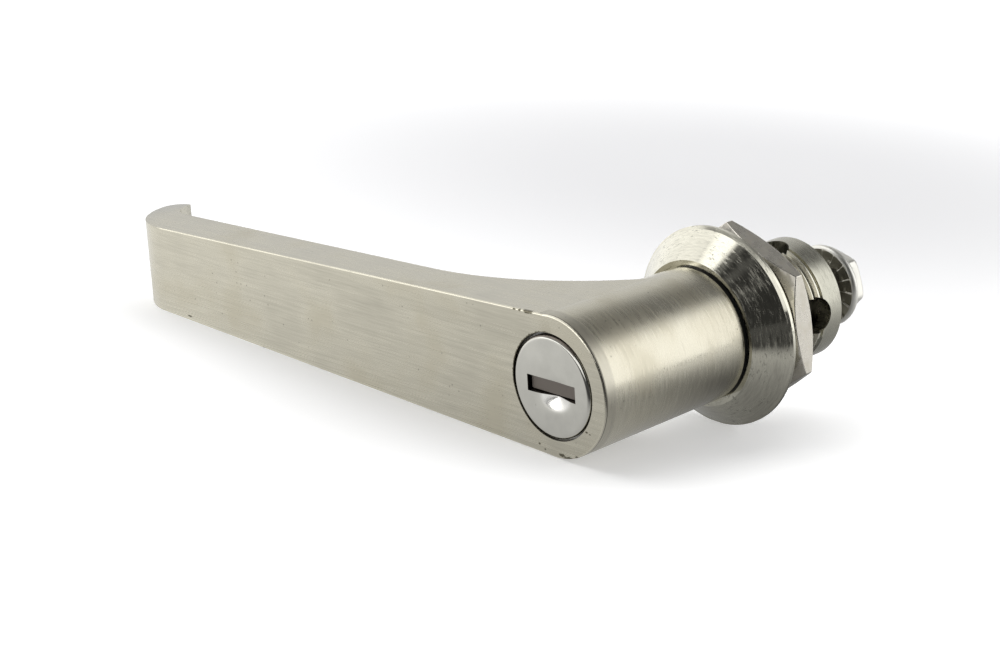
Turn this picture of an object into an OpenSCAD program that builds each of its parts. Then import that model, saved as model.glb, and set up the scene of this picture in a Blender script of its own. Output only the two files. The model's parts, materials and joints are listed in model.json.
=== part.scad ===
// Lockable L-handle latch for a sheet-metal door, in millimetres.
// The origin is on the spindle axis, in the plane where the rosette seats on the door.
// +Y points into the cabinet, the grip points to -X and +Z is up.

/* [Grip] */
// Length from the spindle axis to the grip's tip
grip_len = 121.5; // [100:0.5:140]
// Thickness of the grip bar, front to back
grip_t = 9.4; // [7:0.1:12]
// Height of the grip at its tip
tip_h = 16; // [10:0.5:22]
// Radius of the front corner that rolls back into the tip
tip_r = 13.5; // [11:0.5:20]
// Radius of the rounded nose of the finger lip
lip_r = 3.7; // [2.5:0.1:4.5]
// How far round the front corner the nose sits, from straight out
lip_angle = 13; // [5:1:25]
// Radius of the hollow inside the finger lip
lip_hollow_r = 6; // [4.5:0.5:8]
// How far the hollow cuts into the side of the nose
lip_undercut = 0.35; // [0:0.05:0.6]
// Radius of the concave sweep from the grip into the barrel
sweep_r = 51.5; // [45:0.5:60]
// Distance from the axis at which the sweep leaves the grip
sweep_start = 39; // [32:0.5:44]

/* [Barrel] */
// Diameter of the barrel at the front face
hub_d = 25; // [24:0.1:28]
// Diameter of the barrel at its rear end
barrel_end_d = 24; // [23.2:0.1:27]
// Distance of the front face from the door
face_out = 40.25; // [38:0.25:60]
// Diameter of the lock bore
lock_bore_d = 18.8; // [18.2:0.1:20]
// Thickness of the wall between lock and spindle
inner_wall_t = 3.5; // [2.5:0.1:4.5]
// Diameter of the rear counterbore that runs over the housing collar
rear_bore_d = 18.8; // [18.2:0.1:20]
// Gap between the barrel's end and the rosette's front lip
barrel_gap = 0.6; // [0.5:0.05:0.8]

/* [Rosette and housing] */
// Outer diameter of the rosette
rosette_d = 35.9; // [33:0.1:42]
// Height of the rosette from the door to its front lip
rosette_h = 5.7; // [4.5:0.1:8]
// Thickness of the rosette's bright rim
rim_t = 0.95; // [0.6:0.05:2]
// Length of the cylindrical land on that rim
rim_land = 0.57; // [0.3:0.01:0.6]
// Diameter at which the cone meets the rim
cone_d = 34.9; // [31:0.1:41]
// Outer diameter of the flat front lip
lip_d = 26.2; // [25.6:0.1:28]
// Diameter of the recess around the barrel's end
recess_d = 24.6; // [24.4:0.1:25.4]
// Depth of that recess
recess_depth = 0.7; // [0.5:0.1:1.5]
// Length of the collar in front of the recess floor
collar_len = 8; // [6.5:0.25:9]
// Number of locking notches and of stop holes around the housing
positions = 4; // [4]
// Width of each locking notch
notch_w = 3.4; // [3.2:0.1:4.5]
// Depth of each locking notch
notch_depth = 2.6; // [2.4:0.1:3.5]
// Outer diameter of the threaded tube
tube_d = 22; // [20:0.5:24]
// Diameter of the thread's undercut behind the rosette
undercut_d = 20; // [19:0.1:20]
// Length of that undercut
undercut_len = 1.5; // [0.5:0.1:2.5]
// Length of the slope from the undercut up to the thread
undercut_run = 0.6; // [0.3:0.1:0.9]
// Distance from the door to the end of the thread
thread_end = 15; // [12:0.1:16]
// Depth of the turned groove between the thread and the plain end
end_groove_depth = 0.45; // [0.2:0.05:0.8]
// Width of that groove
end_groove_w = 0.6; // [0.4:0.1:1]
// Length of each sloped side of that groove
groove_run = 0.1; // [0.05:0.05:0.15]
// Distance from the door to the end of the tube
tube_len = 20.5; // [18.5:0.25:26]
// Chamfer on the tube's end
tube_chamfer = 0.4; // [0.2:0.1:0.8]
// Diameter of the four stop holes
stop_hole_d = 6.8; // [5.5:0.1:7.2]
// Distance of the stop holes from the door
stop_hole_y = 13.85; // [13:0.05:14.5]
// Diameter of the relief inside the tube where the stop holes break through
relief_d = 17; // [16.6:0.1:17.2]
// How far that relief runs past the stop holes on either side
relief_margin = 0.35; // [0.2:0.05:0.5]

/* [Panel nut and seal] */
// Width across the nut's flats
nut_af = 30; // [27:0.5:34]
// Thickness of the nut
nut_t = 4.3; // [3.5:0.1:6]
// Gap between rosette and nut, where the door sheet goes
panel_gap = 3.5; // [2.5:0.1:4]
// How far inside the flats the nut's corner chamfer starts
nut_chamfer_in = 0.2; // [0:0.05:0.5]
// Chamfer in the mouths of the nut's thread
nut_mouth = 0.6; // [0.3:0.1:1]
// Angle of the nut about the spindle
nut_turn = 36.1; // [0:0.1:60]
// Section diameter of the sealing ring behind the rosette
seal_wire_d = 1.8; // [1.2:0.1:2]
// Diameter of the sealing ring's centreline
seal_d = 28.4; // [27:0.1:29.5]
// How far the sealing ring stands out of its groove before it is clamped
seal_proud = 0.2; // [0.1:0.05:0.3]
// Room beside the sealing ring in its groove
seal_room = 0.4; // [0.2:0.1:0.8]

/* [Spindle] */
// Diameter of the spindle's front journal
front_journal_d = 12; // [11:0.1:12.4]
// Diameter of the spindle's rear journal
rear_journal_d = 15; // [14.4:0.1:15.6]
// Distance from the door to the front shoulder of the rear journal
shoulder_y = 6; // [5.5:0.1:7]
// Distance from the door to the end of the rear journal
journal_end_y = 18.6; // [18:0.1:19]
// Distance from the door to the end of the cam square
square_end_y = 27.5; // [26:0.1:32]
// Width across the cam square
square_af = 8; // [7:0.1:8.4]
// Diameter of the turned corners of the cam square
square_corner_d = 10; // [9.6:0.1:10.4]
// Width across the two flats that drive the spindle
drive_af = 8; // [7:0.1:8.4]
// Diameter of the driven end
drive_d = 10; // [9.2:0.1:10.2]
// Tapping diameter of the cam screw's hole
cam_screw_bore_d = 5; // [4.6:0.1:5.2]
// Depth of the cam screw's hole
cam_screw_bore_depth = 14; // [13:0.5:16]
// Tapping diameter of the clamp screw's hole
clamp_bore_d = 4.2; // [4:0.1:4.4]
// Depth of the clamp screw's hole
clamp_bore_depth = 10; // [9:0.5:12]
// Length of the clamp screw's thread
clamp_screw_len = 9; // [7:0.5:9.5]
// Diameter of the clamp screw's head
clamp_head_d = 8.5; // [7.5:0.1:9]
// Height of the clamp screw's head
clamp_head_h = 3.5; // [3:0.1:4]
// Width across the clamp screw's socket
clamp_key_af = 4; // [3:0.5:4.5]
// Depth of that socket
clamp_key_depth = 2.1; // [1.5:0.1:2.5]
// Outer diameter of the clamp screw's washer
clamp_washer_d = 10; // [9:0.1:11]
// Thickness of that washer
clamp_washer_t = 1; // [0.8:0.1:1.2]
// Swing of the handle
swing = 90; // [90]

/* [Bearings and seals] */
// Wall of the bearing bush
bush_wall = 1.45; // [1.2:0.05:1.5]
// Length of the bearing bush
bush_len = 15; // [12:0.5:15.5]
// Section diameter of the spindle's sealing ring
o_ring_d = 1.5; // [1.2:0.1:1.8]
// Room beside that ring in its groove
o_ring_room = 0.3; // [0.2:0.05:0.5]
// Distance of that ring in front of the door
o_ring_y = 1; // [0:0.5:3]
// Thickness of the rear thrust washer
rear_washer_t = 0.45; // [0.4:0.05:0.6]

/* [Stop screw] */
// Diameter of the stop screw's dog point
dog_d = 4.4; // [3.6:0.1:4.6]
// Radius at which the dog point ends
dog_end_r = 6; // [5.9:0.1:6.4]
// Radius of the floor of the spindle's stop groove
groove_floor_r = 5.5; // [5.2:0.1:5.6]
// Width across the socket of the stop screw
stop_key_af = 3; // [2.5:0.1:3.2]
// Depth of that socket
stop_key_depth = 1.95; // [1.2:0.05:2.2]
// How far the stop screw sits below the tube's surface
stop_sink = 0.6; // [0.3:0.1:1]

/* [Cam screw] */
// Diameter of the screw's flange
flange_d = 15; // [14:0.1:16]
// Height of the flange's rounded rim
flange_rim_t = 1.9; // [1.4:0.1:2.2]
// Number of teeth under the flange
teeth = 16; // [12:1:20]
// Depth of the grooves between the teeth
tooth_depth = 0.3; // [0.2:0.05:0.5]
// Width across the flats of the screw's head
screw_af = 12; // [10:0.5:13]
// Diameter of the head's turned corners
screw_corner_d = 13.4; // [13.2:0.1:14]
// Rounding of the head's upper corners
screw_round = 0.8; // [0.4:0.1:1.2]
// Height of head and flange together
screw_head_h = 4.6; // [4:0.1:7]
// Angle of the screw's head about the spindle
screw_turn = 45; // [0:1:60]
// Length of the screw's thread
screw_len = 12; // [10:0.5:12.5]

/* [Lock] */
// How far the cap stands proud of the front face
cap_proud = 0.3; // [0:0.05:0.8]
// Thickness of the cap
cap_t = 1.5; // [1.2:0.1:1.6]
// Radius of the cap's rounded rim
cap_edge_r = 0.8; // [0.3:0.1:1]
// Width of the key slot
slot_w = 11.3; // [10:0.1:11.5]
// Height of the key slot
slot_h = 2.9; // [2.4:0.1:3.2]
// Height of the slot's centre above the axis
slot_z = -0.2; // [-0.4:0.1:0]
// Diameter of the round dimple that guides the key
dimple_d = 6.8; // [5:0.1:7.2]
// Depth of the dimple
dimple_depth = 0.9; // [0.4:0.1:1]
// Height of the dimple's centre above the axis
dimple_z = -2.45; // [-3:0.05:-2]
// Diameter of the lock's plug
plug_d = 13.4; // [13.2:0.1:14]
// Length of the lock's shell
shell_len = 12.75; // [12.25:0.25:13]
// Width of the keyway in the plug
keyway_w = 10.9; // [10:0.1:11]
// Height of the keyway in the plug
keyway_h = 2.7; // [2.2:0.1:2.9]
// Diameter of the screw that keeps the lock in the barrel
set_screw_d = 2.5; // [2:0.1:3]
// Width across the socket of that screw
set_key_af = 1.3; // [0.9:0.1:1.5]
// Depth of that socket
set_key_depth = 1.3; // [0.8:0.1:1.6]
// How far that screw sits below the barrel's surface
set_sink = 0.4; // [0.2:0.1:0.8]
// Number of wafers
wafers = 5; // [3:1:5]
// Thickness of one wafer
wafer_t = 1; // [0.8:0.05:1.1]
// Pitch of the wafers
wafer_pitch = 1.65; // [1.55:0.05:1.7]
// Width of one wafer
wafer_w = 11.8; // [11.4:0.1:12]
// Height of one wafer
wafer_h = 5.8; // [5.4:0.1:6]
// Thickness of the dust shutter
shutter_t = 0.7; // [0.5:0.1:0.8]
// Width of the dust shutter
shutter_w = 10.4; // [9.8:0.1:10.5]
// Diameter of the shutter's pin
shutter_pin_d = 0.8; // [0.6:0.1:0.9]
// Height of the shutter's pin above the axis
shutter_pin_z = 2.5; // [2.4:0.05:2.6]
// Inward swing of the dust shutter
shutter_swing = 75; // [60:1:80]

/* [Locking pin] */
// Diameter of the locking pin
bolt_d = 2.6; // [2.4:0.1:2.6]
// Travel of the locking pin for a quarter turn of the key
bolt_travel = 2.2; // [2:0.05:2.25]
// Diameter of the pin's domed head
bolt_head_d = 3; // [2.8:0.1:3]
// Thickness of the pin's collar, which the spring rests on
bolt_collar_t = 0.5; // [0.4:0.1:0.8]
// Wire diameter of the pin's return spring
bolt_wire_d = 0.3; // [0.2:0.05:0.35]

/* [Clearances] */
// Gap between parts that move past each other
gap = 0.3; // [0.25:0.05:0.4]
// Radial play of a shaft in its bearing
running = 0.05; // [0.02:0.01:0.1]
// Play between parts that are fitted together
fitted = 0.03; // [0.01:0.01:0.1]
// Gap between the lock's cap and the mouth of its bore
cap_gap = 0.4; // [0.3:0.05:0.5]
// Play along the axis between washers and what turns on them
end_play = 0.05; // [0.02:0.01:0.1]

/* [Hidden] */
$fn = 96;
cut = 0.01;
far = 200;
STEEL = [0.77, 0.76, 0.72];
BRIGHT = [0.86, 0.85, 0.82];
TAUPE = [0.52, 0.50, 0.47];
ZINC = [0.70, 0.70, 0.68];
BRASS = [0.80, 0.68, 0.40];
BLACK = [0.12, 0.12, 0.12];
WHITE = [0.90, 0.90, 0.86];

// places along the spindle, all worked out from the door plane
face_y = -face_out;
recess_y = -rosette_h + recess_depth;
collar_y = recess_y - collar_len;
wall_back_y = collar_y - gap;
wall_front_y = wall_back_y - inner_wall_t;
barrel_end_y = -rosette_h - barrel_gap;
front_washer_t = recess_y - barrel_end_y - end_play;

// grip and barrel
hub_r = hub_d / 2;
barrel_end_r = barrel_end_d / 2;
draft = atan((hub_r - barrel_end_r) / (barrel_end_y - face_y));
tip_dist = sqrt(grip_len * grip_len + tip_h * tip_h / 4);
flank = 90 - acos(hub_r / tip_dist) + atan(tip_h / 2 / grip_len) - 2 * atan(tip_h / 2 / grip_len);
under_tangent = 0.05;
washer_back = 0.2;

// housing
collar_d = rear_bore_d - 2 * gap;
tube_r = tube_d / 2;
front_bore_r = front_journal_d / 2 + running;
bush_r = front_bore_r + bush_wall;
rear_bore_r = rear_journal_d / 2 + running;
housing_shoulder_y = shoulder_y - rear_washer_t - end_play;
bush_y = housing_shoulder_y - bush_len;
seal_groove_w = seal_wire_d + seal_room;
seal_groove_depth = seal_wire_d - seal_proud;
relief_half = stop_hole_d / 2 + relief_margin;
nut_y = panel_gap;

// spindle and stop
clamp_seat_y = wall_front_y - clamp_washer_t;
o_ring_groove_w = o_ring_d + o_ring_room;
o_ring_floor_r = front_bore_r - o_ring_d - running;
dog_r = dog_d / 2;
groove_half_w = dog_r + gap;
groove_play = 1.2;
groove_half_angle = asin(dog_r / dog_end_r) + groove_play;
stop_inner_r = rear_bore_r + gap;
dog_root = 0.2;

// lock
cap_d = lock_bore_d - 2 * cap_gap;
cap_front_y = face_y - cap_proud;
cap_back_y = cap_front_y + cap_t;
plug_r = plug_d / 2;
shell_y = cap_back_y + gap;
shell_end_y = shell_y + shell_len;
side_play = 0.15;
clip_t = 0.6;
clip_w = 1.9;
clip_land = 0.6;
clip_groove_depth = 0.9;
clip_angle = 300;
clip_y = shell_end_y + side_play;
plug_end_y = clip_y + clip_t + clip_land;
keyway_runout = 0.4;
keyway_end_y = shell_end_y + keyway_runout;
set_screw_y = (shell_y + shell_end_y) / 2;
set_screw_seat = 1.2;
set_screw_in_r = plug_r + set_screw_seat;
wafer_recess_depth = 1;
wafer_recess_h = 3.2;

// dust shutter and its chamber behind the cap
chamber_h = 1.1;
shutter_lap = 0.4;
eye_wall = 0.35;
eye_r = shutter_pin_d / 2 + eye_wall;
eye_notch_w = 3;
eye_notch_room = 0.2;
shutter_y = cap_back_y + side_play;
shutter_pin_y = shutter_y + shutter_t / 2 + eye_wall;
shutter_foot_z = slot_z - slot_h / 2 + shutter_lap;
chamber_end_y = shutter_pin_y + (shutter_pin_z - shutter_foot_z) * sin(shutter_swing) + gap;
pin_sink = 0.6;
shutter_wire_d = 0.24;
shutter_coil_r = shutter_pin_d / 2 + 0.2;
shutter_coil_len = 2.2;

// wafers and their springs
wafer_wall = 0.5;
wafer_y = chamber_end_y + wafer_wall;
wafer_play = 0.1;
wafer_rim = 0.9;
spring_x = 1.4;
spring_len = 3;
spring_room_r = 0.45;
spring_coil_r = 0.3;
spring_wire_d = 0.2;
spring_end_gap = 0.12;

// driver on the plug's tail
stub_af = 6;
stub_len = 1;
tail_hole_depth = 4;
tail_screw_depth = 3.5;
driver_t = 2.4;
driver_gap = 0.5;
driver_y = plug_end_y;
driver_end_y = driver_y + driver_t;
driver_r = lock_bore_d / 2 - driver_gap;
driver_screw_d = 2.4;
driver_head_d = 5.4;
driver_head_h = 1.3;
driver_head_sink = 0.1;
driver_slot_w = 0.7;
driver_slot_depth = 0.6;
ramp_edge = 0.2;
ramp_root = 0.5;
ramp_start = 0.02;
ramp_level = 24;

// cam screw
screw_end_y = square_end_y + screw_head_h;
flange_rim_r = flange_rim_t / 2;
head_foot = 0.5;
tooth_in_r = square_corner_d / 2 + gap;

// locking pin, down from the axis
bolt_tip_back = 0.2;
bolt_rest_tip_y = wall_back_y - bolt_tip_back;
bolt_head_r = bolt_head_d / 2;
bolt_head_y = driver_end_y + gap + bolt_head_r;
bolt_spring_r = bolt_d / 2 + bolt_wire_d / 2 + running;
bolt_collar_r = bolt_spring_r + bolt_wire_d / 2;
bolt_pocket_r = bolt_collar_r + running;
bolt_r = lock_bore_d / 2 - gap - bolt_collar_r;
bolt_pocket_depth = 2;
bolt_spring_y = bolt_head_y + bolt_collar_t + cut;
bolt_spring_len = wall_front_y + bolt_pocket_depth - cut - bolt_wire_d - bolt_spring_y;
ramp_in_r = bolt_r - bolt_head_r;

// a solid turned about the spindle axis, from points of radius and distance along Y
module turned(points)
    rotate([-90, 0, 0]) rotate_extrude() polygon(points);

// a round bar along Y, from y0 to y1
module bar(r, y0, y1)
    translate([0, y0, 0]) rotate([-90, 0, 0]) cylinder(h = y1 - y0, r = r);

// a round hole or bar that stands radially, at an angle from +X towards +Z
module radial(angle, r, from, to)
    rotate([0, -angle, 0]) translate([from, 0, 0]) rotate([0, 90, 0]) cylinder(h = to - from, r = r);

// a flat ring about the spindle axis
module ring(r_in, r_out, y0, y1)
    difference() {
        bar(r_out, y0, y1);
        bar(r_in, y0 - cut, y1 + cut);
    }

// a hexagonal bar along Y with its ends chamfered to the inscribed circle
module hexagon(af, y0, y1, bevel0, bevel1)
    intersection() {
        translate([0, y0, 0]) rotate([-90, 0, 0]) cylinder(h = y1 - y0, r = af / 2 / cos(30), $fn = 6);
        turned([[0, y0], [af / 2 - bevel0, y0], [af / 2 / cos(30) + cut, y0 + hex_fall(af, bevel0)],
            [af / 2 / cos(30) + cut, y1 - hex_fall(af, bevel1)], [af / 2 - bevel1, y1], [0, y1]]);
    }

// points along an arc about a centre
function arc(x, y, r, from, to, steps) =
    [for (k = [0 : steps]) let (a = from + (to - from) * k / steps) [x + r * cos(a), y + r * sin(a)]];

// axial fall of a 30 degree chamfer that starts a little inside the flats
function hex_fall(af, inside) = (af / 2 / cos(30) - af / 2 + inside) * tan(30);

// a coil spring along Z, swept round by round from a ring of wire points
module coil(mean_r, wire_r, turns, height, steps = 12, sides = 6) {
    rings = turns * steps;
    points = [for (k = [0 : rings]) for (s = [0 : sides - 1])
        let (a = 360 * k / steps, b = 360 * s / sides, r = mean_r + wire_r * cos(b))
        [r * cos(a), r * sin(a), height * k / rings + wire_r * sin(b)]];
    walls = [for (k = [0 : rings - 1]) for (s = [0 : sides - 1])
        let (n = (s + 1) % sides, here = k * sides, next = here + sides)
        each [[here + s, here + n, next + n], [here + s, next + n, next + s]]];
    start = [for (s = [1 : sides - 2]) [0, s + 1, s]];
    end = [for (s = [1 : sides - 2]) [rings * sides, rings * sides + s, rings * sides + s + 1]];
    polyhedron(points, concat(walls, start, end), convexity = 10);
}

// the grip seen from above: bar, rolled tip with its finger lip, and the sweep to the barrel
module grip_plan() {
    corner_x = -grip_len + tip_r;
    nose = tip_r - lip_r;
    nose_x = corner_x - nose * cos(lip_angle);
    nose_y = tip_r - nose * sin(lip_angle);
    hollow_x = nose_x + lip_hollow_r - lip_undercut;
    difference() {
        union() {
            translate([corner_x, 0]) square([-corner_x, grip_t]);
            translate([-sweep_start, grip_t - cut]) square([sweep_start, hub_r + grip_t]);
            intersection() {
                translate([corner_x, tip_r]) circle(r = tip_r, $fn = 180);
                translate([corner_x, tip_r]) rotate(180 + lip_angle) square([2 * tip_r, 2 * tip_r]);
            }
            translate([nose_x, nose_y]) circle(r = lip_r);
            translate([nose_x, grip_t - lip_r]) square([corner_x - nose_x, lip_r]);
        }
        translate([-sweep_start, grip_t + sweep_r]) circle(r = sweep_r, $fn = 360);
        translate([hollow_x, grip_t + lip_hollow_r]) circle(r = lip_hollow_r);
        translate([hollow_x, grip_t]) square([-sweep_start - hollow_x, far]);
    }
}

// the space above the upper flank of the grip, which lies against the tapered barrel
module above_flank()
    rotate([0, -flank, 0]) translate([-far, face_y, hub_r - under_tangent]) rotate([-draft, 0, 0])
        translate([0, -1, 0]) cube([2 * far, far, far]);

module grip()
    difference() {
        translate([0, face_y, -hub_r]) linear_extrude(hub_d) grip_plan();
        above_flank();
        mirror([0, 0, 1]) above_flank();
    }

module bolt_place()
    translate([0, 0, -bolt_r]) children();

// one casting: grip, tapered barrel, and the inner wall between lock and spindle
module handle() color(STEEL)
    difference() {
        union() {
            grip();
            translate([0, face_y, 0]) rotate([-90, 0, 0])
                cylinder(h = barrel_end_y - face_y, r1 = hub_r, r2 = barrel_end_r);
        }
        bar(lock_bore_d / 2, face_y - 1, wall_front_y);
        bar(rear_bore_d / 2, wall_back_y, 1);
        intersection() {
            bar(drive_d / 2 + fitted, wall_front_y - 1, wall_back_y + 1);
            translate([-far / 2, wall_front_y - 1, -drive_af / 2 - fitted])
                cube([far, inner_wall_t + 2, drive_af + 2 * fitted]);
        }
        bolt_place() bar(bolt_d / 2 + running, wall_front_y - 1, wall_back_y + 1);
        bolt_place() bar(bolt_pocket_r, wall_front_y - cut, wall_front_y + bolt_pocket_depth);
        translate([0, set_screw_y, 0]) radial(270, set_screw_d / 2 + fitted, lock_bore_d / 2 - 1, hub_r + 1);
    }

// the fixed part: rosette, collar with its locking notches, and the threaded tube
module housing() color(BRIGHT)
    difference() {
        turned([[0, collar_y], [collar_d / 2, collar_y], [collar_d / 2, recess_y],
            [recess_d / 2, recess_y], [recess_d / 2, -rosette_h], [lip_d / 2, -rosette_h],
            [cone_d / 2, -rim_t], [rosette_d / 2, -rim_land], [rosette_d / 2, 0],
            [undercut_d / 2, 0], [undercut_d / 2, undercut_len], [tube_r, undercut_len + undercut_run],
            [tube_r, thread_end], [tube_r - end_groove_depth, thread_end + groove_run],
            [tube_r - end_groove_depth, thread_end + end_groove_w],
            [tube_r, thread_end + end_groove_w + groove_run], [tube_r, tube_len - tube_chamfer],
            [tube_r - tube_chamfer, tube_len], [0, tube_len]]);
        bar(front_bore_r, collar_y - 1, housing_shoulder_y + 1);
        bar(bush_r + fitted, bush_y, housing_shoulder_y);
        bar(rear_bore_r, housing_shoulder_y, tube_len + 1);
        bar(relief_d / 2, stop_hole_y - relief_half, stop_hole_y + relief_half);
        ring(seal_d / 2 - seal_groove_w / 2, seal_d / 2 + seal_groove_w / 2, -seal_groove_depth, 1);
        for (k = [0 : positions - 1]) {
            translate([0, stop_hole_y, 0]) radial(k * 360 / positions, stop_hole_d / 2, 0, far / 8);
            rotate([0, k * 360 / positions, 0])
                translate([-notch_w / 2, collar_y - 1, -far / 8]) cube([notch_w, notch_depth + 1, far / 8]);
        }
    }

module hex_nut() color(TAUPE)
    rotate([0, -nut_turn, 0])
        difference() {
            hexagon(nut_af, nut_y, nut_y + nut_t, nut_chamfer_in, nut_chamfer_in);
            bar(tube_r + fitted, nut_y - 1, nut_y + nut_t + 1);
            turned([[0, nut_y - cut], [tube_r + nut_mouth, nut_y - cut], [tube_r, nut_y + nut_mouth],
                [0, nut_y + nut_mouth]]);
            turned([[0, nut_y + nut_t - nut_mouth], [tube_r, nut_y + nut_t - nut_mouth],
                [tube_r + nut_mouth, nut_y + nut_t + cut], [0, nut_y + nut_t + cut]]);
        }

// a sealing ring of round section
module o_ring(d, wire_d, y) color(BLACK)
    translate([0, y, 0]) rotate([-90, 0, 0]) rotate_extrude()
        translate([d / 2, 0]) circle(d = wire_d, $fn = 32);

module rosette_seal()
    o_ring(seal_d, seal_wire_d, -seal_groove_depth + seal_wire_d / 2);

module front_thrust_washer() color(BLACK)
    ring(rear_bore_d / 2 + fitted, barrel_end_r - washer_back, recess_y - front_washer_t, recess_y);

module bearing_bush() color(WHITE)
    ring(front_bore_r, bush_r, bush_y, housing_shoulder_y);

module rear_thrust_washer() color(WHITE)
    ring(front_bore_r, rear_bore_r - fitted, housing_shoulder_y, housing_shoulder_y + rear_washer_t);

// the stop groove runs a quarter turn round the rear journal, from the stop screw downwards
module stop_groove()
    translate([0, stop_hole_y, 0]) rotate([0, 180 + groove_half_angle, 0]) rotate([90, 0, 0])
        rotate_extrude(angle = swing + 2 * groove_half_angle)
            translate([groove_floor_r, -groove_half_w]) square([rear_journal_d, 2 * groove_half_w]);

module spindle() color(ZINC)
    difference() {
        union() {
            intersection() {
                bar(drive_d / 2, wall_front_y, wall_back_y + cut);
                translate([-far / 2, wall_front_y - 1, -drive_af / 2])
                    cube([far, inner_wall_t + 2, drive_af]);
            }
            bar(front_journal_d / 2, wall_back_y, shoulder_y + cut);
            bar(rear_journal_d / 2, shoulder_y, journal_end_y);
            intersection() {
                bar(square_corner_d / 2, journal_end_y - cut, square_end_y);
                translate([-square_af / 2, journal_end_y - 1, -square_af / 2])
                    cube([square_af, square_end_y - journal_end_y + 2, square_af]);
            }
        }
        bar(cam_screw_bore_d / 2, square_end_y - cam_screw_bore_depth, square_end_y + 1);
        bar(clamp_bore_d / 2, wall_front_y - 1, wall_front_y + clamp_bore_depth);
        ring(o_ring_floor_r, front_journal_d, -o_ring_y - o_ring_groove_w / 2,
            -o_ring_y + o_ring_groove_w / 2);
        stop_groove();
    }

module spindle_o_ring()
    o_ring(2 * front_bore_r - o_ring_d - running, o_ring_d, -o_ring_y);

// low socket-head screw that clamps the spindle to the inner wall
module spindle_clamp_screw() color(ZINC)
    difference() {
        union() {
            bar(clamp_head_d / 2, clamp_seat_y - clamp_head_h, clamp_seat_y);
            bar(clamp_bore_d / 2 - fitted, clamp_seat_y - cut, clamp_seat_y + clamp_screw_len);
        }
        translate([0, clamp_seat_y - clamp_head_h - cut, 0]) rotate([-90, 0, 0])
            cylinder(h = clamp_key_depth, r = clamp_key_af / 2 / cos(30), $fn = 6);
    }

module clamp_washer() color(ZINC)
    ring(clamp_bore_d / 2 + gap, clamp_washer_d / 2, clamp_seat_y, wall_front_y);

// headless screw in the hole on the grip's side; its dog point runs in the spindle's groove
module stop_screw() color(TAUPE)
    translate([0, stop_hole_y, 0])
        difference() {
            union() {
                radial(180, stop_hole_d / 2 - fitted, stop_inner_r, tube_r - stop_sink);
                radial(180, dog_r, dog_end_r, stop_inner_r + dog_root);
            }
            rotate([0, -180, 0]) translate([tube_r - stop_sink - stop_key_depth, 0, 0]) rotate([0, 90, 0])
                cylinder(h = tube_r, r = stop_key_af / 2 / cos(30), $fn = 6);
        }

// hexagon head with turned corners and a rounded top
module screw_head(foot_y)
    rotate([0, -screw_turn, 0]) intersection() {
        translate([0, foot_y, 0]) rotate([-90, 0, 0])
            cylinder(h = screw_end_y - foot_y, r = screw_af / 2 / cos(30), $fn = 6);
        turned(concat([[0, foot_y - cut], [screw_corner_d / 2, foot_y - cut]],
            arc(screw_corner_d / 2 - screw_round, screw_end_y - screw_round, screw_round, 0, 90, 6),
            [[0, screw_end_y]]));
    }

// hexagon screw with a toothed, round-rimmed flange, seated on the end of the cam square
module cam_screw() color(BRIGHT)
    difference() {
        union() {
            bar(cam_screw_bore_d / 2 - fitted, square_end_y - screw_len, square_end_y + cut);
            turned(concat([[0, square_end_y]],
                arc(flange_d / 2 - flange_rim_r, square_end_y + flange_rim_r, flange_rim_r, -90, 90, 10),
                [[screw_af / 2, square_end_y + flange_rim_t + head_foot],
                [0, square_end_y + flange_rim_t + head_foot]]));
            screw_head(square_end_y + flange_rim_t);
        }
        for (k = [0 : teeth - 1])
            rotate([0, k * 360 / teeth, 0]) translate([tooth_in_r, square_end_y, 0]) rotate([45, 0, 0])
                translate([0, -tooth_depth / sqrt(2), -tooth_depth / sqrt(2)])
                    cube([flange_d, tooth_depth * sqrt(2), tooth_depth * sqrt(2)]);
    }

// the slot that the key goes through
module key_slot(w, h, y0, y1)
    translate([-w / 2, y0, slot_z - h / 2]) cube([w, y1 - y0, h]);

// polished cap on the front of the plug, with rounded rim, key slot and guiding dimple
module lock_cap() color(BRIGHT) {
    dimple_ball_r = (dimple_d * dimple_d / 4 + dimple_depth * dimple_depth) / (2 * dimple_depth);
    difference() {
        rotate([-90, 0, 0]) translate([0, 0, cap_front_y]) rotate_extrude() union() {
            square([cap_d / 2 - cap_edge_r, cap_t]);
            translate([0, cap_edge_r]) square([cap_d / 2, cap_t - cap_edge_r]);
            intersection() {
                translate([cap_d / 2 - cap_edge_r, cap_edge_r]) circle(r = cap_edge_r, $fn = 48);
                square([cap_d / 2, cap_t]);
            }
        }
        key_slot(slot_w, slot_h, cap_front_y - 1, cap_back_y + 1);
        translate([0, cap_front_y - dimple_ball_r + dimple_depth, dimple_z]) sphere(r = dimple_ball_r);
    }
}

// the wafers sit one behind the other in slots across the plug
function wafer_place(k) = wafer_y + k * wafer_pitch;
function wafer_shift(k) = [0.2, -0.3, 0.1, -0.15, 0.3][k];

// pocket for a wafer's spring, half in the wafer and half in the plug
module spring_pocket(k, r)
    translate([spring_x, wafer_place(k) + wafer_t / 2 - r, wafer_h / 2 - r])
        cube([spring_len, 2 * r, 2 * r]);

// a hole or bar along X on the shutter pin's axis
module shutter_axis(half, r)
    translate([-half, shutter_pin_y, shutter_pin_z]) rotate([0, 90, 0]) cylinder(h = 2 * half, r = r);

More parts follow.
